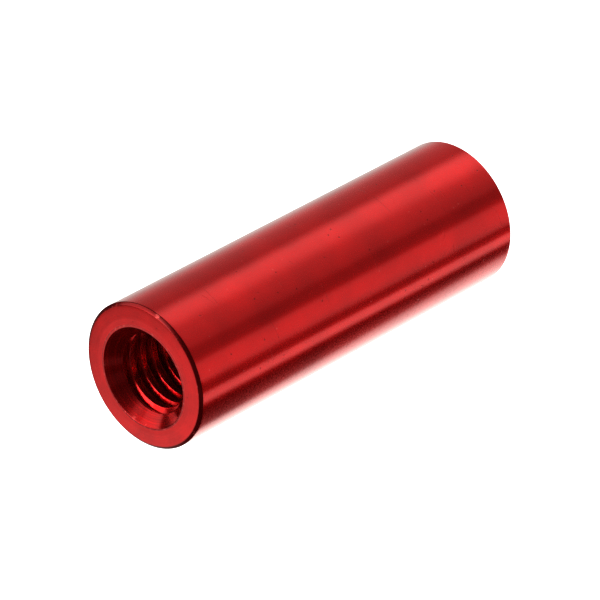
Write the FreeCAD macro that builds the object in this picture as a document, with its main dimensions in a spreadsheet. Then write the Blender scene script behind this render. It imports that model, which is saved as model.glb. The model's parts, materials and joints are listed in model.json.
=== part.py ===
"""Round female-female threaded standoff: one piece of aluminium bar, turned, tapped right through and anodised.

Frame: millimetres, +X along the axis from end A to end B, +Z up, origin at the centre of end face A.
"""
import FreeCAD, Part
import os

import Sketcher

PARTS_FOLDER = "parts"

# The driving dimensions, in millimetres and degrees.
DIMENSIONS = {
    "barrel_diameter": 5.0,
    "body_length": 15.0,
    "edge_break": 0.1,
    "mouth_diameter": 3.45,
    "mouth_angle": 90.0,
    "thread_major": 3.0,
    "thread_minor": 2.58,
    "thread_pitch": 0.5,
    "thread_flank_angle": 60.0,
    "thread_run_out": 0.27,
    "cutter_overlap": 0.06,
}

# Lengths that follow from the driving dimensions, as sheet expressions.
BARREL_RADIUS = "sizes.barrel_diameter / 2"
MOUTH_RADIUS = "sizes.mouth_diameter / 2"
BORE_RADIUS = "sizes.thread_minor / 2"
MOUTH_DEPTH = "(sizes.mouth_diameter - sizes.thread_minor) / 2 / tan(sizes.mouth_angle / 2)"
ROOT_RADIUS = "sizes.thread_major / 2"
CUTTER_BACK_RADIUS = "sizes.thread_minor / 2 - sizes.cutter_overlap"
ROOT_HALF_WIDTH = "sizes.thread_pitch / 16"
CUTTER_BACK_HALF_WIDTH = (
    f"{ROOT_HALF_WIDTH} + ({ROOT_RADIUS} - ({CUTTER_BACK_RADIUS})) * tan(sizes.thread_flank_angle / 2)"
)


def make_sheet(doc):
    """The driving dimensions, one named cell each."""
    sheet = doc.addObject("Spreadsheet::Sheet", "sizes")
    for row, (alias, value) in enumerate(DIMENSIONS.items(), start=1):
        sheet.set(f"A{row}", alias)
        sheet.set(f"B{row}", str(value))
        sheet.setAlias(f"B{row}", alias)
    doc.recompute()


def new_sketch(body, name):
    """An empty sketch on the body's own XZ plane: its first axis is the part's axis, its second is up."""
    sketch = body.newObject("Sketcher::SketchObject", name)
    plane = next(feature for feature in body.Origin.OriginFeatures if feature.Role == "XZ_Plane")
    sketch.AttachmentSupport = [(plane, "")]
    sketch.MapMode = "FlatFace"
    return sketch


def draw_outline(sketch, corners):
    """A closed outline of straight lines. Each corner is its name, its place along the axis and its radius."""
    points = [
        FreeCAD.Vector(float(sketch.evalExpression(along)), float(sketch.evalExpression(radius)), 0)
        for _, along, radius in corners
    ]
    count = len(points)
    for index, point in enumerate(points):
        sketch.addGeometry(Part.LineSegment(point, points[(index + 1) % count]), False)
    for index in range(count):
        sketch.addConstraint(Sketcher.Constraint("Coincident", index, 2, (index + 1) % count, 1))
    for line, (name, along, radius) in enumerate(corners):
        bind_corner(sketch, line, f"{name}_along", "DistanceX", along, points[line].x)
        bind_corner(sketch, line, f"{name}_radius", "DistanceY", radius, points[line].y)


def bind_corner(sketch, line, name, direction, expression, value):
    """Ties the first end of one line to a sheet expression, measured from the sketch's origin."""
    index = sketch.addConstraint(Sketcher.Constraint(direction, -1, 1, line, 1, value))
    sketch.renameConstraint(index, name)
    sketch.setExpression(f"Constraints.{name}", expression)


def turn_blank(doc, body):
    """The turned and drilled blank: barrel with broken edges, tapping bore and a countersink at each end."""
    profile = new_sketch(body, "blank_profile")
    draw_outline(
        profile,
        [
            ("mouth_a", "0", MOUTH_RADIUS),
            ("face_a", "0", f"{BARREL_RADIUS} - sizes.edge_break"),
            ("barrel_a", "sizes.edge_break", BARREL_RADIUS),
            ("barrel_b", "sizes.body_length - sizes.edge_break", BARREL_RADIUS),
            ("face_b", "sizes.body_length", f"{BARREL_RADIUS} - sizes.edge_break"),
            ("mouth_b", "sizes.body_length", MOUTH_RADIUS),
            ("bore_b", f"sizes.body_length - {MOUTH_DEPTH}", BORE_RADIUS),
            ("bore_a", MOUTH_DEPTH, BORE_RADIUS),
        ],
    )
    blank = body.newObject("PartDesign::Revolution", "turned_blank")
    blank.Profile = profile
    blank.ReferenceAxis = (profile, ["H_Axis"])
    blank.Angle = 360
    doc.recompute()
    return blank


def tap_through(doc, body):
    """The internal thread: a right-hand groove that runs out through both countersinks."""
    cutter = new_sketch(body, "thread_profile")
    start = "-sizes.thread_run_out"
    draw_outline(
        cutter,
        [
            ("back_a", f"{start} - ({CUTTER_BACK_HALF_WIDTH})", CUTTER_BACK_RADIUS),
            ("root_a", f"{start} - {ROOT_HALF_WIDTH}", ROOT_RADIUS),
            ("root_b", f"{start} + {ROOT_HALF_WIDTH}", ROOT_RADIUS),
            ("back_b", f"{start} + {CUTTER_BACK_HALF_WIDTH}", CUTTER_BACK_RADIUS),
        ],
    )
    thread = body.newObject("PartDesign::SubtractiveHelix", "tapped_thread")
    thread.Profile = cutter
    thread.ReferenceAxis = (cutter, ["H_Axis"])
    thread.Mode = "pitch-height-angle"
    thread.LeftHanded = False
    # unrefined, the crest stays one face per turn instead of a single face of twenty-eight turns
    thread.Refine = False
    thread.setExpression("Pitch", "sizes.thread_pitch")
    thread.setExpression("Height", "sizes.body_length + 2 * sizes.thread_run_out")
    doc.recompute()
    return thread


def make_standoff(doc):
    """The whole standoff is one solid of metal."""
    body = doc.addObject("PartDesign::Body", "standoff_body")
    body.Label = "standoff_body"
    body.Placement = FreeCAD.Placement()
    blank = turn_blank(doc, body)
    thread = tap_through(doc, body)
    removed = blank.Shape.Volume - thread.Shape.Volume
    if removed <= 0:
        raise RuntimeError("the thread cut nothing")
    print(f"blank {blank.Shape.Volume:.3f} mm3, thread removes {removed:.3f} mm3")
    return body


def check_document(doc, bodies):
    """Stops the build if any object failed or any body's shape is unusable."""
    for item in doc.Objects:
        if {"Invalid", "Error"} & set(item.State):
            raise RuntimeError(f"{item.Name} failed: {item.State}")
    for body in bodies:
        if body.Shape.isNull() or not body.Shape.isValid():
            raise RuntimeError(f"{body.Label} has no valid shape")


def main():
    os.makedirs("parts", exist_ok=True)
    doc = FreeCAD.newDocument("threaded_standoff")
    make_sheet(doc)
    bodies = [make_standoff(doc)]
    doc.recompute()
    check_document(doc, bodies)
    for body in bodies:
        body.Shape.exportStep(f"{PARTS_FOLDER}/{body.Label}.step")
        print(body.Label, len(body.Shape.Solids), "solid", len(body.Shape.Faces), "faces")


main()
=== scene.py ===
"""Looks of a round threaded standoff: one red anodised aluminium turning on a pale floor.

Metres, in the frame of the CAD model: +X along the axis from end A to end B, +Z up, end face A at x = 0.
"""
import json
import math

import bpy
import numpy as np
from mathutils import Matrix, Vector


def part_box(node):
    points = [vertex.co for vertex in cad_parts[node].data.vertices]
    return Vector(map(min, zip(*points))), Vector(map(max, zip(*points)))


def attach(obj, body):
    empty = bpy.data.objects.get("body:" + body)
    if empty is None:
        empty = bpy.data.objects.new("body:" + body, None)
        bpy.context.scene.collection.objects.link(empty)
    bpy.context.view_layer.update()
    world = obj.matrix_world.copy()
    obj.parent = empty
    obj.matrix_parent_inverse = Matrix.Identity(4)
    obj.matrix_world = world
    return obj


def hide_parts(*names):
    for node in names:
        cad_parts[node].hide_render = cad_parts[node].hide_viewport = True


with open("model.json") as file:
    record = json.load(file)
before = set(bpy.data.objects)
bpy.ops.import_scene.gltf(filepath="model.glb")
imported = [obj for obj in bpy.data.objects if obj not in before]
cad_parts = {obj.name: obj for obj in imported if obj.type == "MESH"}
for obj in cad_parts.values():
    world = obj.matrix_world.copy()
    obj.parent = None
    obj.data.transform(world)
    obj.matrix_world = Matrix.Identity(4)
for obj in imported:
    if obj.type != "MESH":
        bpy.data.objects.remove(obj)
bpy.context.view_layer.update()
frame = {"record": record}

MM = 0.001
TURN = 2 * math.pi

# Sizes that the frame gives.
MOUNTS = {mount["name"]: mount for mount in frame["record"]["mounts"]}
LOW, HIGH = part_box("standoff_body")
LENGTH = HIGH.x - LOW.x
BARREL_RADIUS = min(HIGH.y, HIGH.z)
MINOR_RADIUS = MOUNTS["thread_a"]["dims"]["r_mm"] * MM
MOUTH_DEPTH = MOUNTS["thread_a"]["pos_m"][0]
MOUTH_RADIUS = MINOR_RADIUS + MOUTH_DEPTH

# The M3 thread, as it is cut in the CAD model.
MAJOR_RADIUS = 1.5 * MM
PITCH = 0.5 * MM
RUN_OUT = 0.27 * MM
FLANK_SLOPE = math.tan(math.radians(30))
ROOT_HALF_WIDTH = PITCH / 16
CREST_HALF_START = ROOT_HALF_WIDTH + (MAJOR_RADIUS - MINOR_RADIUS) * FLANK_SLOPE

# What the visual thread adds to it: rounded corners, and small burrs along the crest.
CORNER_ROUNDING = 0.017 * MM
BURR_HEIGHT = 0.007 * MM
BURR_SEED = 7

# Tool marks on the ends: a broken outer edge, an outer zone that slopes back, a countersink a little low.
EDGE_BREAK = 0.10 * MM
EDGE_ROUNDING = 0.035 * MM
MOUTH_ROUNDING = 0.03 * MM
FACING_STEP_RADIUS = 0.79 * BARREL_RADIUS
FACING_DROP = math.tan(math.radians(2.5)) * (BARREL_RADIUS - EDGE_BREAK - FACING_STEP_RADIUS)
MOUTH_OFFSET = 0.055 * MM

# The mesh: columns around the axis, rings along the barrel and in the countersinks, and how far in from
# each end the helical rows of the thread take over.
COLUMNS = 180
BARREL_RINGS = 24
RING_STEP = 0.0125 * MM
THREAD_ZONE_START = 0.5 * MM

ZONE_BARREL, ZONE_FACE, ZONE_MOUTH, ZONE_THREAD = range(4)


# ---------------------------------------------------------------- the turned and tapped shape


def soft_max(a, b, width):
    """The larger of two lengths, rounded over where they are within width of each other."""
    overlap = np.maximum(width - np.abs(a - b), 0.0)
    return np.maximum(a, b) + overlap * overlap / (4 * width)


def soft_min(a, b, width):
    return -soft_max(-a, -b, width)


def thread_radius(x, turn):
    """Radius of the tapped wall at a place along the axis and a share of a turn from +Y towards +Z."""
    from_root = ((x + RUN_OUT) / PITCH - turn + 0.25 + 0.5) % 1.0 - 0.5
    flank = MAJOR_RADIUS - (np.abs(from_root) * PITCH - ROOT_HALF_WIDTH) / FLANK_SLOPE
    return soft_max(soft_min(flank, MAJOR_RADIUS, CORNER_ROUNDING), MINOR_RADIUS, CORNER_ROUNDING)


def bore_radius(x, turn):
    """Radius of the bore's wall: the thread, and the two countersinks that it runs out through."""
    countersink = MOUTH_RADIUS - np.minimum(x, LENGTH - x)
    return soft_max(thread_radius(x, turn), countersink, 0.5 * CORNER_ROUNDING)


def mouth_lift(x):
    """How far the countersink of end A sits from the axis. It fades out where the plain thread begins."""
    return -MOUTH_OFFSET * max(0.0, 1.0 - abs(x) / MOUTH_DEPTH)


def fillet(before, corner, after, radius, steps=5):
    """Points of an arc that rounds the corner of a profile."""
    before, corner, after = (np.array(point) for point in (before, corner, after))
    back = (before - corner) / np.linalg.norm(before - corner)
    ahead = (after - corner) / np.linalg.norm(after - corner)
    half_angle = math.acos(np.clip(back @ ahead, -1, 1)) / 2
    tangent = radius / math.tan(half_angle)
    centre = corner + (back + ahead) / np.linalg.norm(back + ahead) * radius / math.sin(half_angle)
    start = corner + back * tangent - centre
    end = corner + ahead * tangent - centre
    sweep = math.pi - 2 * half_angle
    points = []
    for share in np.linspace(0, 1, steps):
        blend = start * math.sin((1 - share) * sweep) + end * math.sin(share * sweep)
        points.append(tuple(centre + blend / math.sin(sweep)))
    return points


def end_profile():
    """End A from its mouth to the barrel, as places along the axis, radii and zones."""
    cone = (MOUTH_DEPTH, MINOR_RADIUS)
    mouth = (0.0, MOUTH_RADIUS)
    step = (0.0, FACING_STEP_RADIUS)
    rim = (FACING_DROP, BARREL_RADIUS - EDGE_BREAK)
    shoulder = (EDGE_BREAK, BARREL_RADIUS)
    barrel = (2 * EDGE_BREAK, BARREL_RADIUS)
    profile = [(x, r, ZONE_MOUTH) for x, r in fillet(cone, mouth, step, MOUTH_ROUNDING)]
    for share in (0.3, 0.6, 0.9, 1.0):
        profile.append((0.0, MOUTH_RADIUS + share * (FACING_STEP_RADIUS - MOUTH_RADIUS), ZONE_FACE))
    for share in (0.1, 0.4, 0.7):
        radius = FACING_STEP_RADIUS + share * (rim[1] - FACING_STEP_RADIUS)
        profile.append((share * FACING_DROP, radius, ZONE_FACE))
    profile += [(x, r, ZONE_FACE) for x, r in fillet(step, rim, shoulder, EDGE_ROUNDING)]
    profile += [(x, r, ZONE_BARREL) for x, r in fillet(rim, shoulder, barrel, EDGE_ROUNDING)]
    return profile


class Skin:
    """Vertices and faces of one closed mesh, gathered ring by ring around the axis."""

    def __init__(self):
        self.points = []
        self.faces = []
        self.zones = []

    def point(self, x, radius, turn, lift=0.0):
        angle = TURN * turn
        self.points.append((x, radius * math.cos(angle), radius * math.sin(angle) + lift))
        return len(self.points) - 1

    def face(self, corners, zone):
        self.faces.append(corners)
        self.zones.append(zone)

    def ring(self, x, radius_at, lift=0.0):
        turns = np.arange(COLUMNS) / COLUMNS
        radii = np.broadcast_to(radius_at(turns), turns.shape)
        return [self.point(x, float(radius), turn, lift) for radius, turn in zip(radii, turns)]

    def join_rings(self, first, second, zone):
        for i in range(COLUMNS):
            j = (i + 1) % COLUMNS
            self.face((first[i], second[i], second[j], first[j]), zone)


def add_outside(skin):
    """The end faces and the barrel, from one mouth to the other. Returns the two mouth rings."""
    end_a = end_profile()
    end_b = [(LENGTH - x, radius, zone) for x, radius, zone in reversed(end_a)]
    spacing = np.linspace(2 * EDGE_BREAK, LENGTH - 2 * EDGE_BREAK, BARREL_RINGS)
    barrel = [(x, BARREL_RADIUS, ZONE_BARREL) for x in spacing]
    profile = end_a + barrel + end_b
    rings = []
    for x, radius, _ in profile:
        inward = (FACING_STEP_RADIUS - radius) / (FACING_STEP_RADIUS - MOUTH_RADIUS)
        lift = mouth_lift(x) * min(max(inward, 0.0), 1.0)
        rings.append(skin.ring(x, lambda turns, radius=radius: radius, lift))
    for index in range(len(rings) - 1):
        zone = profile[index + 1][2]
        if index < len(rings) // 2:
            zone = max(profile[index][2], zone)
        skin.join_rings(rings[index + 1], rings[index], zone)
    return rings[0], rings[-1]


def thread_rows():
    """Where the mesh rows of one pitch run, as shares of a pitch from the middle of a root."""
    root = ROOT_HALF_WIDTH / PITCH
    crest = CREST_HALF_START / PITCH
    spread = 0.03
    half = [corner + offset for corner in (root, crest) for offset in (-spread, 0.0, spread)]
    return [-share for share in reversed(half)] + half + [0.5]


def add_thread(skin, start_ring, end_ring, x_from, x_to):
    """The thread between two plain rings. Its rows follow the helix, so its corners are clean lines."""
    shares = thread_rows()
    per_turn = len(shares)
    corner_share = CREST_HALF_START / PITCH
    margin = 0.2 * RING_STEP
    rng = np.random.default_rng(BURR_SEED)

    def place(row, column):
        return PITCH * (row // per_turn + shares[row % per_turn] + column / COLUMNS - 0.25) - RUN_OUT

    columns = []
    last_row = per_turn * (int((x_to + RUN_OUT) / PITCH) + 2)
    for column in range(COLUMNS):
        found = {}
        for row in range(-per_turn, last_row):
            x = place(row, column)
            if x_from + margin < x < x_to - margin:
                radius = float(bore_radius(x, column / COLUMNS))
                at_corner = abs(abs(shares[row % per_turn]) - corner_share) < 0.01
                if at_corner:
                    radius -= BURR_HEIGHT * abs(rng.normal())
                found[row] = skin.point(x, radius, column / COLUMNS)
        columns.append(found)
    for i in range(COLUMNS):
        j = (i + 1) % COLUMNS
        here = columns[i]
        shift = per_turn if j == 0 else 0
        there = {row - shift: vertex for row, vertex in columns[j].items()}
        low, low_there = min(here), min(there)
        high, high_there = max(here), max(there)
        if low_there == low:
            skin.face((start_ring[i], here[low], there[low], start_ring[j]), ZONE_THREAD)
        else:
            skin.face((start_ring[i], there[low_there], start_ring[j]), ZONE_THREAD)
            skin.face((start_ring[i], here[low], there[low], there[low_there]), ZONE_THREAD)
        for row in range(low, min(high, high_there)):
            skin.face((here[row], here[row + 1], there[row + 1], there[row]), ZONE_THREAD)
        if high_there == high:
            skin.face((here[high], end_ring[i], end_ring[j], there[high]), ZONE_THREAD)
        else:
            skin.face((here[high_there], here[high], end_ring[j], there[high_there]), ZONE_THREAD)
            skin.face((here[high], end_ring[i], end_ring[j]), ZONE_THREAD)


def add_bore(skin, mouth_a, mouth_b):
    """The countersinks in fine plain rings, with the thread between them."""
    cone_start = MOUTH_ROUNDING * (1 - math.cos(math.pi / 4))
    places = list(np.arange(cone_start, THREAD_ZONE_START, RING_STEP)[1:])
    near = mouth_a
    for x in places:
        ring = skin.ring(x, lambda turns, x=x: bore_radius(x, turns), mouth_lift(x))
        skin.join_rings(near, ring, ZONE_MOUTH if x < MOUTH_DEPTH else ZONE_THREAD)
        near = ring
    far = mouth_b
    for x in (LENGTH - place for place in places):
        ring = skin.ring(x, lambda turns, x=x: bore_radius(x, turns))
        skin.join_rings(ring, far, ZONE_MOUTH if LENGTH - x < MOUTH_DEPTH else ZONE_THREAD)
        far = ring
    add_thread(skin, near, far, places[-1], LENGTH - places[-1])


def build_standoff(materials):
    skin = Skin()
    mouth_a, mouth_b = add_outside(skin)
    add_bore(skin, mouth_a, mouth_b)
    mesh = bpy.data.meshes.new("standoff")
    mesh.from_pydata(skin.points, [], skin.faces)
    for material in materials:
        mesh.materials.append(material)
    mesh.polygons.foreach_set("material_index", skin.zones)
    mesh.polygons.foreach_set("use_smooth", [True] * len(skin.faces))
    mesh.update()
    piece = bpy.data.objects.new("standoff", mesh)
    bpy.context.scene.collection.objects.link(piece)
    normals = piece.modifiers.new("flat faces stay flat", "WEIGHTED_NORMAL")
    normals.weight = 80
    normals.keep_sharp = True
    return piece


# ---------------------------------------------------------------- node shorthand


class Graph:
    """Adds nodes to a tree. An input may be a number or another node's output."""

    def __init__(self, tree):
        self.tree = tree

    def add(self, kind, **settings):
        node = self.tree.nodes.new(kind)
        for name, value in settings.items():
            setattr(node, name, value)
        return node

    def link(self, value, socket):
        if isinstance(value, bpy.types.NodeSocket):
            self.tree.links.new(value, socket)
        else:
            socket.default_value = value

    def math(self, operation, *values):
        node = self.add("ShaderNodeMath", operation=operation)
        for value, socket in zip(values, node.inputs):
            self.link(value, socket)
        return node.outputs[0]

    def ramp(self, value, start, end, low=0.0, high=1.0):
        """Rises smoothly from low to high as value goes from start to end, and is level beyond them."""
        node = self.add("ShaderNodeMapRange", interpolation_type="SMOOTHSTEP")
        self.link(value, node.inputs["Value"])
        self.link(start, node.inputs["From Min"])
        self.link(end, node.inputs["From Max"])
        self.link(low, node.inputs["To Min"])
        self.link(high, node.inputs["To Max"])
        return node.outputs["Result"]

    def stretch(self, vector, factors):
        node = self.add("ShaderNodeVectorMath", operation="MULTIPLY")
        self.link(vector, node.inputs[0])
        node.inputs[1].default_value = factors
        return node.outputs[0]

    def mix(self, share, first, second):
        """One colour fading into another. Inputs 6 and 7 and output 2 are the node's colour sockets."""
        node = self.add("ShaderNodeMix", data_type="RGBA")
        self.link(share, node.inputs["Factor"])
        self.link(first, node.inputs[6])
        self.link(second, node.inputs[7])
        return node.outputs[2]

    def bump(self, height, depth, before=None):
        node = self.add("ShaderNodeBump")
        self.link(height, node.inputs["Height"])
        node.inputs["Distance"].default_value = depth
        if before is not None:
            self.link(before, node.inputs["Normal"])
        return node.outputs["Normal"]

    def noise(self, vector, scale, detail=2.0, roughness=0.5):
        node = self.add("ShaderNodeTexNoise")
        self.link(vector, node.inputs["Vector"])
        self.link(scale, node.inputs["Scale"])
        self.link(detail, node.inputs["Detail"])
        self.link(roughness, node.inputs["Roughness"])
        return node.outputs["Fac"]


# ---------------------------------------------------------------- materials

# Colours of the film: as dyed; thicker, also used as painted shade in the thread's roots and the
# countersink;
# lighter, for specks and for painted glints on the edges; in pits; painted shade on the outer edges; lighter
# on the thread's crest, as torn film and painted glints; and painted shade over the countersink and its
# marks.
RED_FILM = (0.72, 0.006, 0.008, 1)
# This darker colour is thicker film on the outside, and painted shade in the bore.
THICK_FILM_AND_SHADE = (0.58, 0.004, 0.006, 1)
# This lighter colour paints glints on the edges, and colours the specks.
GLINT_AND_SPECK_FILM = (0.85, 0.16, 0.15, 1)
PIT_FILM = (0.20, 0.003, 0.005, 1)
# This dark colour is painted shade on the outer edges.
PAINTED_EDGE_SHADE = (0.16, 0.003, 0.005, 1)
TORN_AND_GLINT_FILM = (0.92, 0.30, 0.28, 1)
SHADED_FILM = (0.30, 0.006, 0.008, 1)


class Film:
    """The anodised film of one zone: its dye, grain, pits and tool marks, by place on the part."""

    def __init__(self, name, coat_roughness, metallic):
        self.material = bpy.data.materials.new(name)
        self.material.use_nodes = True
        self.graph = Graph(self.material.node_tree)
        self.shader = self.material.node_tree.nodes["Principled BSDF"]
        self.shader.inputs["Metallic"].default_value = metallic
        self.shader.inputs["Coat Weight"].default_value = 1.0
        self.shader.inputs["Coat IOR"].default_value = 1.45
        self.shader.inputs["Coat Roughness"].default_value = coat_roughness
        self.place = self.graph.add("ShaderNodeTexCoord").outputs["Object"]
        split = self.graph.add("ShaderNodeSeparateXYZ")
        self.graph.link(self.place, split.inputs[0])
        self.along, y, z = split.outputs
        y_squared = self.graph.math("MULTIPLY", y, y)
        z_squared = self.graph.math("MULTIPLY", z, z)
        squares = self.graph.math("ADD", y_squared, z_squared)
        self.radius = self.graph.math("SQRT", squares)
        self.normal = None

    def rings(self, spacing, by_radius):
        """Marks that a turning tool leaves around the axis, by radius on a face or along the barrel."""
        combine = self.graph.add("ShaderNodeCombineXYZ")
        self.graph.link(self.radius if by_radius else self.along, combine.inputs[0])
        drift = self.graph.math("MULTIPLY", self.graph.noise(self.place, 1.0 / MM, 1.0), spacing * 0.8)
        self.graph.link(drift, combine.inputs[1])
        return self.graph.noise(combine.outputs[0], 1.0 / spacing, 3.0, 0.6)

    def grain(self, size):
        return self.graph.noise(self.place, 1.0 / size, 3.0, 0.65)

    def pits(self, spacing, size, share):
        """Small round pits, at random places in some of the cells of a grid."""
        cells = self.graph.add("ShaderNodeTexVoronoi")
        self.graph.link(self.place, cells.inputs["Vector"])
        cells.inputs["Scale"].default_value = 1.0 / spacing
        spot = self.graph.ramp(cells.outputs["Distance"], size / spacing, 0.4 * size / spacing)
        chance = self.graph.add("ShaderNodeSeparateColor")
        self.graph.link(cells.outputs["Color"], chance.inputs[0])
        chosen = self.graph.math("GREATER_THAN", chance.outputs[0], 1.0 - share)
        return self.graph.math("MULTIPLY", spot, chosen)

    def scratches(self, factors, width):
        """Thin broken lines where a long stretched noise crosses its middle value."""
        lines = self.graph.noise(self.graph.stretch(self.place, factors), 1.0, 0.0)
        off = self.graph.math("ABSOLUTE", self.graph.math("SUBTRACT", lines, 0.5))
        line = self.graph.ramp(off, width, 0.3 * width)
        patches = self.graph.ramp(self.graph.noise(self.place, 0.8 / MM, 2.0), 0.57, 0.64)
        return self.graph.math("MULTIPLY", line, patches)

    def emboss(self, height, depth):
        self.normal = self.graph.bump(height, depth, self.normal)

    def finish(self, colour, roughness):
        self.graph.link(colour, self.shader.inputs["Base Color"])
        self.graph.link(roughness, self.shader.inputs["Roughness"])
        self.graph.link(self.normal, self.shader.inputs["Normal"])
        self.graph.link(self.normal, self.shader.inputs["Coat Normal"])
        return self.material


def barrel_material():
    film = Film("red_film_barrel", coat_roughness=0.10, metallic=0.86)
    graph = film.graph
    clouds = graph.noise(film.place, 0.6 / MM, 3.0)
    grain = film.grain(0.038 * MM)
    rings = film.rings(0.09 * MM, by_radius=False)
    pits = film.pits(spacing=0.35 * MM, size=0.040 * MM, share=0.40)
    specks = film.pits(spacing=0.29 * MM, size=0.031 * MM, share=0.18)
    scratches = film.scratches(factors=(2200, 150, 400), width=0.014)
    waviness = graph.noise(film.place, 8.0 / MM, 1.0)
    film.emboss(waviness, 0.0005 * MM)
    film.emboss(grain, 0.0003 * MM)
    film.emboss(rings, 0.0003 * MM)
    dents = graph.math("MAXIMUM", pits, scratches)
    film.emboss(graph.math("SUBTRACT", 1.0, dents), 0.0018 * MM)
    colour = graph.mix(graph.ramp(clouds, 0.30, 0.70), THICK_FILM_AND_SHADE, RED_FILM)
    colour = graph.mix(graph.ramp(grain, 0.42, 0.75, 0.0, 0.30), colour, RED_FILM)
    from_end = graph.math("MINIMUM", film.along, graph.math("SUBTRACT", LENGTH, film.along))
    # Painted shade at the broken edges: the barrel darkens towards both ends.
    edge = graph.ramp(from_end, 1.3 * EDGE_BREAK, 0.9 * EDGE_BREAK)
    colour = graph.mix(graph.math("MULTIPLY", edge, 0.85), colour, PAINTED_EDGE_SHADE)
    # Painted glints: lighter spots at random along the broken edges; the specks are lighter film.
    glints = graph.ramp(graph.noise(film.place, 2.9 / MM, 3.0), 0.58, 0.68, 0.0, 0.75)
    painted_glints = graph.math("MULTIPLY", edge, glints)
    glints_and_specks = graph.math("MAXIMUM", painted_glints, graph.math("MULTIPLY", specks, 0.75))
    colour = graph.mix(glints_and_specks, colour, GLINT_AND_SPECK_FILM)
    colour = graph.mix(graph.math("MULTIPLY", pits, 0.7), colour, PIT_FILM)
    roughness = graph.ramp(grain, 0.30, 0.75, 0.20, 0.29)
    return film.finish(colour, graph.math("ADD", roughness, graph.math("MULTIPLY", pits, 0.15)))


def face_material():
    film = Film("red_film_face", coat_roughness=0.20, metallic=0.86)
    graph = film.graph
    grain = film.grain(0.042 * MM)
    rings = film.rings(0.067 * MM, by_radius=True)
    pits = film.pits(spacing=0.29 * MM, size=0.029 * MM, share=0.35)
    film.emboss(rings, 0.0004 * MM)
    film.emboss(grain, 0.0005 * MM)
    film.emboss(graph.math("SUBTRACT", 1.0, pits), 0.0018 * MM)
    clouds = graph.noise(film.place, 1.2 / MM, 3.0)
    shade = graph.math("MULTIPLY_ADD", rings, 0.35, graph.math("MULTIPLY", clouds, 0.65))
    colour = graph.mix(graph.ramp(shade, 0.35, 0.65), THICK_FILM_AND_SHADE, RED_FILM)
    # Painted shade at the broken edge: the face darkens towards its outer rim.
    rim = graph.ramp(film.radius, BARREL_RADIUS - 1.5 * EDGE_BREAK, BARREL_RADIUS - 0.7 * EDGE_BREAK)
    colour = graph.mix(graph.math("MULTIPLY", rim, 0.8), colour, PAINTED_EDGE_SHADE)
    # Painted glints: lighter spots at random along the outer rim.
    glints = graph.ramp(graph.noise(film.place, 2.9 / MM, 3.0), 0.58, 0.68, 0.0, 0.7)
    painted_glints = graph.math("MULTIPLY", rim, glints)
    colour = graph.mix(painted_glints, colour, GLINT_AND_SPECK_FILM)
    colour = graph.mix(graph.math("MULTIPLY", pits, 0.6), colour, PIT_FILM)
    return film.finish(colour, graph.ramp(grain, 0.30, 0.70, 0.27, 0.35))


def mouth_material():
    film = Film("red_film_countersink", coat_roughness=0.12, metallic=0.85)
    graph = film.graph
    grain = film.grain(0.033 * MM)
    rings = film.rings(0.046 * MM, by_radius=True)
    film.emboss(rings, 0.0009 * MM)
    film.emboss(grain, 0.0004 * MM)
    # Painted shade: the countersink is darker all over, in two tones that follow its tool marks.
    colour = graph.mix(graph.ramp(rings, 0.30, 0.80), SHADED_FILM, THICK_FILM_AND_SHADE)
    lip = graph.ramp(film.radius, MOUTH_RADIUS - 0.042 * MM, MOUTH_RADIUS)
    # Painted glints: lighter spots at random along the lip of the countersink.
    glints = graph.ramp(graph.noise(film.place, 8.0 / MM, 3.0), 0.54, 0.68, 0.0, 0.4)
    painted_glints = graph.math("MULTIPLY", lip, glints)
    colour = graph.mix(painted_glints, colour, GLINT_AND_SPECK_FILM)
    return film.finish(colour, graph.ramp(grain, 0.30, 0.70, 0.20, 0.28))


def thread_material():
    film = Film("red_film_thread", coat_roughness=0.10, metallic=0.90)
    graph = film.graph
    grain = film.grain(0.042 * MM)
    drag = film.rings(0.025 * MM, by_radius=True)
    film.emboss(grain, 0.00075 * MM)
    film.emboss(drag, 0.0005 * MM)
    # Painted shade: the thread darkens from its crest down into its roots.
    depth = graph.ramp(film.radius, MAJOR_RADIUS, MINOR_RADIUS)
    colour = graph.mix(depth, THICK_FILM_AND_SHADE, RED_FILM)
    # Lighter film along the crest at random: partly torn film, partly painted glints of the burrs.
    crest = graph.ramp(film.radius, MINOR_RADIUS + 0.025 * MM, MINOR_RADIUS - 0.004 * MM)
    tears = graph.ramp(graph.noise(film.place, 17.0 / MM, 3.0), 0.46, 0.58, 0.0, 0.9)
    torn_and_glinting = graph.math("MULTIPLY", crest, tears)
    return film.finish(graph.mix(torn_and_glinting, colour, TORN_AND_GLINT_FILM), graph.ramp(grain, 0.30, 0.70, 0.17, 0.26))


# ---------------------------------------------------------------- camera, floor and light


def add_camera():
    """A long lens, seen from beyond end A, from the left and from above."""
    azimuth = math.radians(-47.71)
    elevation = math.radians(28.92)
    distance = 179.6 * MM
    aim = Vector((7.33, -0.006, -0.236)) * MM
    level = math.cos(elevation)
    forward = Vector((-math.sin(azimuth) * level, math.cos(azimuth) * level, -math.sin(elevation)))
    data = bpy.data.cameras.new("camera")
    data.angle = math.radians(6.181)
    data.clip_start = 10 * MM
    camera = bpy.data.objects.new("camera", data)
    camera.location = aim - forward * distance
    camera.rotation_euler = forward.to_track_quat("-Z", "Y").to_euler()
    bpy.context.scene.collection.objects.link(camera)
    bpy.context.scene.camera = camera


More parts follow.
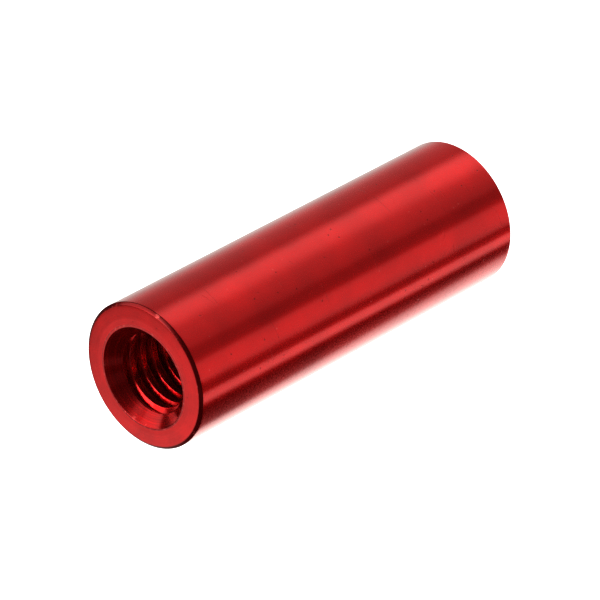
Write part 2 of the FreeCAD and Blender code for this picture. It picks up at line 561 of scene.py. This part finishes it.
def add_floor():
    """A white table that glows a little, as a light table does. The part's gloss sees the lights instead."""
    half = 1.0
    corners = [(-half, -half), (half, -half), (half, half), (-half, half)]
    mesh = bpy.data.meshes.new("floor")
    mesh.from_pydata([(x, y, LOW.z) for x, y in corners], [], [(0, 1, 2, 3)])
    floor = bpy.data.objects.new("floor", mesh)
    bpy.context.scene.collection.objects.link(floor)
    material = bpy.data.materials.new("floor_white")
    material.use_nodes = True
    shader = material.node_tree.nodes["Principled BSDF"]
    shader.inputs["Base Color"].default_value = (0.1, 0.1, 0.1, 1)
    shader.inputs["Roughness"].default_value = 0.9
    shader.inputs["Specular IOR Level"].default_value = 0.0
    shader.inputs["Emission Color"].default_value = (1, 1, 1, 1)
    shader.inputs["Emission Strength"].default_value = 1.3
    mesh.materials.append(material)
    floor.visible_glossy = False


# Brightness around the part's axis, as the part sees it: angle in degrees from straight up towards the
# camera's side, where an edge starts and ends, the level beyond it, and how far it turns towards end B.
LEVEL_AT_SEAM = 0.03
EDGES_AROUND = (
    ("lit table under the part", -193, -184, 1.00, -32),
    ("table's far edge", -152, -120, 0.56, 0),
    ("wall behind", -108, -64, 0.30, 0),
    ("overhead softbox", -36, -16, 1.00, 0),
    ("overhead softbox, soft side", -4, 18, 0.56, 8),
    ("ceiling", 18, 44, 0.44, 0),
    ("flag beside the camera", 42, 52, 0.25, 4),
    ("side softbox", 66, 74, 0.69, 4),
    ("gap below it", 101, 106, 0.11, 14),
    ("low strip light", 117, 122, 0.98, 9),
    ("black card on the table", 130, 140, 0.02, 8),
)
SEAM_ANGLE = 147

# Soft boxes on the side of end A: direction, half-width and soft edge in degrees, brightness.
BOXES = (
    ("table beyond end A", (-0.617, 0.367, -0.697), 24, 16, 0.78),
    ("large softbox, back left", (-0.52, 0.72, 0.40), 20, 5, 0.85),
    ("large softbox, left", (-0.87, 0.32, 0.32), 19, 5, 1.9),
    ("softbox over the left one", (-0.58, 0.32, 0.72), 17, 8, 0.42),
)

# Colours of the light: everywhere, and from the wall behind the part.
WARM_LIGHT = (1.0, 0.985, 0.94, 1)
ROSY_LIGHT = (1.5, 0.97, 0.94, 1)
WHITE = (1, 1, 1, 1)


def add_world():
    world = bpy.data.worlds.new("studio")
    bpy.context.scene.world = world
    world.use_nodes = True
    tree = world.node_tree
    graph = Graph(tree)
    direction = graph.add("ShaderNodeTexCoord").outputs["Generated"]
    split = graph.add("ShaderNodeSeparateXYZ")
    graph.link(direction, split.inputs[0])
    x, y, z = split.outputs
    around = graph.math("DEGREES", graph.math("ARCTAN2", graph.math("MULTIPLY", y, -1.0), z))
    wrapped = graph.math("WRAP", around, SEAM_ANGLE, SEAM_ANGLE - 360)
    towards_b = graph.ramp(x, 0.60, 0.70, -0.5, 0.5)
    level = LEVEL_AT_SEAM
    total = LEVEL_AT_SEAM
    for _, start, end, after, drift in EDGES_AROUND:
        moved = graph.math("SUBTRACT", wrapped, graph.math("MULTIPLY", towards_b, float(drift)))
        total = graph.math("ADD", total, graph.ramp(moved, start, end, 0.0, after - level))
        level = after
    side = graph.ramp(x, 0.25, 0.55, 0.16, 1.0)
    total = graph.math("MULTIPLY", total, side)
    for _, towards, half_width, edge, brightness in BOXES:
        dot = graph.add("ShaderNodeVectorMath", operation="DOT_PRODUCT")
        graph.link(direction, dot.inputs[0])
        dot.inputs[1].default_value = Vector(towards).normalized()
        angle = graph.math("DEGREES", graph.math("ARCCOSINE", dot.outputs["Value"]))
        window = graph.ramp(angle, half_width - edge / 2, half_width + edge / 2, brightness, 0.0)
        window = graph.math("MULTIPLY", window, graph.ramp(x, -0.22, -0.36))
        total = graph.math("MAXIMUM", total, window)
    camera_ray = graph.add("ShaderNodeLightPath").outputs["Is Camera Ray"]
    background = tree.nodes["Background"]
    graph.link(graph.math("MAXIMUM", total, camera_ray), background.inputs["Strength"])
    rosy = graph.math("MULTIPLY", graph.ramp(wrapped, -95, -75), graph.ramp(wrapped, -25, -45))
    light = graph.mix(rosy, WARM_LIGHT, ROSY_LIGHT)
    graph.link(graph.mix(camera_ray, light, WHITE), background.inputs["Color"])


def set_colour_management():
    view = bpy.context.scene.view_settings
    view.view_transform = "Standard"
    view.look = "High Contrast"


standoff = build_standoff([barrel_material(), face_material(), mouth_material(), thread_material()])
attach(standoff, "root")
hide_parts("standoff_body")
add_camera()
add_floor()
add_world()
set_colour_management()
